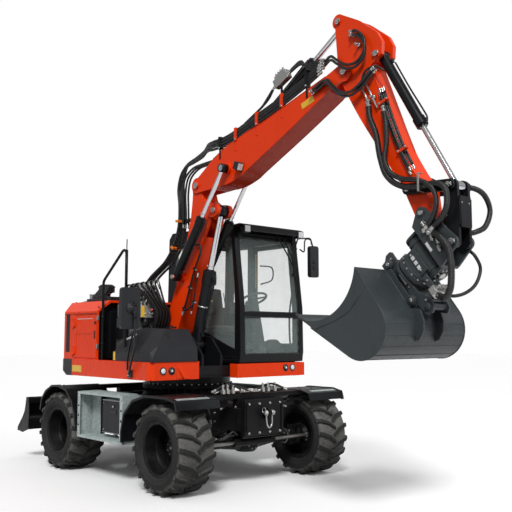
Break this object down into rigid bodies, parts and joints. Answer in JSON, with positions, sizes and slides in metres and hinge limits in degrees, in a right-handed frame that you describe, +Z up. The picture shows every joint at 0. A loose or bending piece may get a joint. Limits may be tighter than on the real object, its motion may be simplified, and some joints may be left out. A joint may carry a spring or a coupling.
{
  "type": "wheeled excavator",
  "caption": "Road-going excavator with a cab, a two-piece boom, a tilting and turning coupler, a grading bucket and a rear dozer blade.",
  "frame": {"origin": "on the ground under the middle of the machine's length and width", "axes": "+X forward towards the bucket, +Y to the machine's left, +Z up"},
  "size_m": [6.916, 2.9591, 5.0629],
  "materials": {
    "body_paint": "gloss",
    "black_paint": "satin",
    "frame_black": "satin",
    "tool_grey": "satin",
    "galvanised": "satin",
    "tread": "matt",
    "chrome": "polished",
    "plastic": "matt",
    "glass": "clear",
    "lamp": "clear",
    "steel": "satin",
    "iron": "matt",
    "fabric": "matt"
  },
  "bodies": {
    "chassis": {"chassis_frame": "frame_black", "front_axle": "frame_black", "rear_axle": "frame_black", "fenders": "black_paint", "step_right": "galvanised", "step_left": "galvanised"},
    "knuckle_left": {"knuckle_left": "frame_black"},
    "knuckle_right": {"knuckle_right": "frame_black"},
    "steering_rod": {"steering_rod": "chrome"},
    "wheel_front_left": {"tyre_front_left": "tread", "rim_front_left": "frame_black"},
    "wheel_front_right": {"tyre_front_right": "tread", "rim_front_right": "frame_black"},
    "wheel_rear_left": {"tyre_rear_left": "tread", "rim_rear_left": "frame_black"},
    "wheel_rear_right": {"tyre_rear_right": "tread", "rim_rear_right": "frame_black"},
    "blade_arms": {"blade_arms": "black_paint"},
    "blade_links": {"blade_links": "frame_black"},
    "blade": {"blade": "black_paint"},
    "blade_barrels": {"blade_barrels": "black_paint"},
    "blade_rods": {"blade_rods": "chrome"},
    "upper_structure": {"turntable": "black_paint", "counterweight": "iron", "hood": "body_paint", "engine": "steel", "deck_cover": "black_paint", "exhaust": "chrome", "tank_cover": "plastic", "skirts": "body_paint", "work_lamps": "lamp", "valve_block": "steel", "deck_rail": "black_paint", "right_mirror": "plastic", "left_mirror": "plastic", "cab_frame": "black_paint", "cab_glass": "glass", "seat": "fabric", "console": "plastic"},
    "side_door": {"side_door": "body_paint"},
    "rear_door": {"rear_door": "body_paint"},
    "cab_door": {"cab_door": "black_paint", "door_glass": "glass"},
    "lower_boom": {"lower_boom": "body_paint"},
    "main_barrel": {"main_barrel": "black_paint"},
    "main_rod": {"main_rod": "chrome"},
    "upper_boom": {"upper_boom": "body_paint"},
    "adjust_barrels": {"adjust_barrels": "black_paint"},
    "adjust_rods": {"adjust_rods": "chrome"},
    "arm": {"arm": "body_paint"},
    "arm_barrel": {"arm_barrel": "black_paint"},
    "arm_rod": {"arm_rod": "chrome"},
    "bucket_barrel": {"bucket_barrel": "black_paint"},
    "bucket_rod": {"bucket_rod": "chrome"},
    "rocker": {"rocker": "black_paint"},
    "push_link": {"push_link": "black_paint"},
    "hitch": {"hitch_bracket": "tool_grey"},
    "tilt_unit": {"tilt_unit": "tool_grey"},
    "tool": {"quick_coupler": "tool_grey", "bucket": "tool_grey"}
  },
  "joints": [
    {"name": "steer_left", "type": "hinge", "parent": "chassis", "child": "knuckle_left", "pos_m": [0.155, 0.88, 0.5], "axis": [0, 0, 1], "range_deg": [-28.07, 28.07]},
    {"name": "steer_right", "type": "hinge", "parent": "chassis", "child": "knuckle_right", "pos_m": [0.155, -0.88, 0.5], "axis": [0, 0, 1], "range_deg": [-28.13, 28.13]},
    {"name": "steering_slide", "type": "slide", "parent": "chassis", "child": "steering_rod", "axis": [0, 1, 0], "range_m": [-0.07856, 0.07856]},
    {"name": "roll_front_left", "type": "hinge", "parent": "knuckle_left", "child": "wheel_front_left", "pos_m": [0.155, 1.05, 0.5], "axis": [0, 1, 0], "continuous": true},
    {"name": "roll_front_right", "type": "hinge", "parent": "knuckle_right", "child": "wheel_front_right", "pos_m": [0.155, -1.05, 0.5], "axis": [0, 1, 0], "continuous": true},
    {"name": "roll_rear_left", "type": "hinge", "parent": "chassis", "child": "wheel_rear_left", "pos_m": [-2.195, 1.05, 0.5], "axis": [0, 1, 0], "continuous": true},
    {"name": "roll_rear_right", "type": "hinge", "parent": "chassis", "child": "wheel_rear_right", "pos_m": [-2.195, -1.05, 0.5], "axis": [0, 1, 0], "continuous": true},
    {"name": "blade_lift", "type": "hinge", "parent": "chassis", "child": "blade_arms", "pos_m": [-2.58, 0, 0.5], "axis": [0, -1, 0], "range_deg": [0, 50]},
    {"name": "blade_level", "type": "hinge", "parent": "blade_arms", "child": "blade", "pos_m": [-3.055, 0, 0.48], "axis": [0, -1, 0], "range_deg": [-50.05, 0]},
    {"name": "blade_link_swing", "type": "hinge", "parent": "chassis", "child": "blade_links", "pos_m": [-2.64, 0, 0.7], "axis": [0, -1, 0], "range_deg": [0, 50.05]},
    {"name": "blade_barrel_swing", "type": "hinge", "parent": "chassis", "child": "blade_barrels", "pos_m": [-2.62, 0, 0.86], "axis": [0, -1, 0], "range_deg": [0, 23.7]},
    {"name": "blade_rod_slide", "type": "slide", "parent": "blade_barrels", "child": "blade_rods", "axis": [-0.6839, 0, -0.7295], "range_m": [0, 0.20485]},
    {"name": "swing", "type": "hinge", "parent": "chassis", "child": "upper_structure", "pos_m": [-1.02, 0, 1.12], "axis": [0, 0, 1], "continuous": true},
    {"name": "side_door_hinge", "type": "hinge", "parent": "upper_structure", "child": "side_door", "pos_m": [-2.01, -1.162, 1.7], "axis": [0, 0, -1], "range_deg": [0, 74.48]},
    {"name": "rear_door_hinge", "type": "hinge", "parent": "upper_structure", "child": "rear_door", "pos_m": [-2.56407, 0.76231, 1.7], "axis": [0, 0, -1], "range_deg": [0, 85.94]},
    {"name": "cab_door_hinge", "type": "hinge", "parent": "upper_structure", "child": "cab_door", "pos_m": [-1.02, 1.182, 2.2], "axis": [0, 0, 1], "range_deg": [0, 91.67]},
    {"name": "boom_lift", "type": "hinge", "parent": "upper_structure", "child": "lower_boom", "pos_m": [-1.01, -0.25, 1.63], "axis": [0, -1, 0], "range_deg": [-24.06, 17.19]},
    {"name": "main_barrel_swing", "type": "hinge", "parent": "upper_structure", "child": "main_barrel", "pos_m": [-0.51, -0.25, 1.62], "axis": [0, -1, 0], "range_deg": [-26.71, 19.09]},
    {"name": "main_rod_slide", "type": "slide", "parent": "main_barrel", "child": "main_rod", "axis": [0.2863, 0, 0.9581], "range_m": [-0.19349, 0.1383]},
    {"name": "boom_fold", "type": "hinge", "parent": "lower_boom", "child": "upper_boom", "pos_m": [-0.342, -0.25, 3.608], "axis": [0, 1, 0], "range_deg": [-14.32, 20.05]},
    {"name": "adjust_barrel_swing", "type": "hinge", "parent": "lower_boom", "child": "adjust_barrels", "pos_m": [-0.648, -0.25, 2.471], "axis": [0, 1, 0], "range_deg": [-4.14, 5.8]},
    {"name": "adjust_rod_slide", "type": "slide", "parent": "adjust_barrels", "child": "adjust_rods", "axis": [0.6031, 0, 0.7977], "range_m": [-0.16233, 0.11603]},
    {"name": "arm_swing", "type": "hinge", "parent": "upper_boom", "child": "arm", "pos_m": [2.153, -0.25, 4.414], "axis": [0, 1, 0], "range_deg": [-22.92, 34.38]},
    {"name": "arm_barrel_swing", "type": "hinge", "parent": "upper_boom", "child": "arm_barrel", "pos_m": [0.76, -0.25, 4.195], "axis": [0, 1, 0], "range_deg": [-3.81, 5.72]},
    {"name": "arm_rod_slide", "type": "slide", "parent": "arm_barrel", "child": "arm_rod", "axis": [0.8535, 0, 0.5211], "range_m": [-0.2019, 0.3026]},
    {"name": "tool_curl", "type": "hinge", "parent": "arm", "child": "hitch", "pos_m": [3.065, -0.25, 2.843], "axis": [0, 1, 0], "range_deg": [-28.65, 51.57]},
    {"name": "rocker_swing", "type": "hinge", "parent": "arm", "child": "rocker", "pos_m": [2.915, -0.25, 3.085], "axis": [0, 1, 0], "range_deg": [-17.51, 31.48]},
    {"name": "push_link_swing", "type": "hinge", "parent": "rocker", "child": "push_link", "pos_m": [3.37, -0.25, 3.06], "axis": [0, 1, 0], "range_deg": [-0.522, 0.29]},
    {"name": "bucket_barrel_swing", "type": "hinge", "parent": "arm", "child": "bucket_barrel", "pos_m": [2.55, -0.25, 4.5], "axis": [0, 1, 0], "range_deg": [-2.9, 5.22]},
    {"name": "bucket_rod_slide", "type": "slide", "parent": "bucket_barrel", "child": "bucket_rod", "axis": [0.4948, 0, -0.869], "range_m": [-0.1068, 0.192]},
    {"name": "tool_tilt", "type": "hinge", "parent": "hitch", "child": "tilt_unit", "pos_m": [3.051, -0.25, 2.43], "axis": [0.6018, 0, -0.7986], "range_deg": [-39.99, 39.99]},
    {"name": "tool_turn", "type": "hinge", "parent": "tilt_unit", "child": "tool", "pos_m": [3.051, -0.25, 2.43], "axis": [0.7986, 0, 0.6018], "continuous": true}
  ],
  "couplings": [
    {"joint": "steer_right", "follows": "steer_left", "ratio": 1},
    {"joint": "steering_slide", "follows": "steer_left", "m_per_rad": 0.16},
    {"joint": "blade_level", "follows": "blade_lift", "ratio": -1},
    {"joint": "blade_link_swing", "follows": "blade_lift", "ratio": 1},
    {"joint": "blade_barrel_swing", "follows": "blade_lift", "ratio": 0.4734},
    {"joint": "blade_rod_slide", "follows": "blade_lift", "m_per_rad": 0.2345},
    {"joint": "main_barrel_swing", "follows": "boom_lift", "ratio": 1.1081},
    {"joint": "main_rod_slide", "follows": "boom_lift", "m_per_rad": 0.4599},
    {"joint": "adjust_barrel_swing", "follows": "boom_fold", "ratio": 0.2887},
    {"joint": "adjust_rod_slide", "follows": "boom_fold", "m_per_rad": -0.463},
    {"joint": "arm_barrel_swing", "follows": "arm_swing", "ratio": 0.166},
    {"joint": "arm_rod_slide", "follows": "arm_swing", "m_per_rad": 0.5035},
    {"joint": "rocker_swing", "follows": "tool_curl", "ratio": 0.6096},
    {"joint": "push_link_swing", "follows": "tool_curl", "ratio": -0.0101},
    {"joint": "bucket_barrel_swing", "follows": "tool_curl", "ratio": 0.1011},
    {"joint": "bucket_rod_slide", "follows": "tool_curl", "m_per_rad": 0.213}
  ]
}
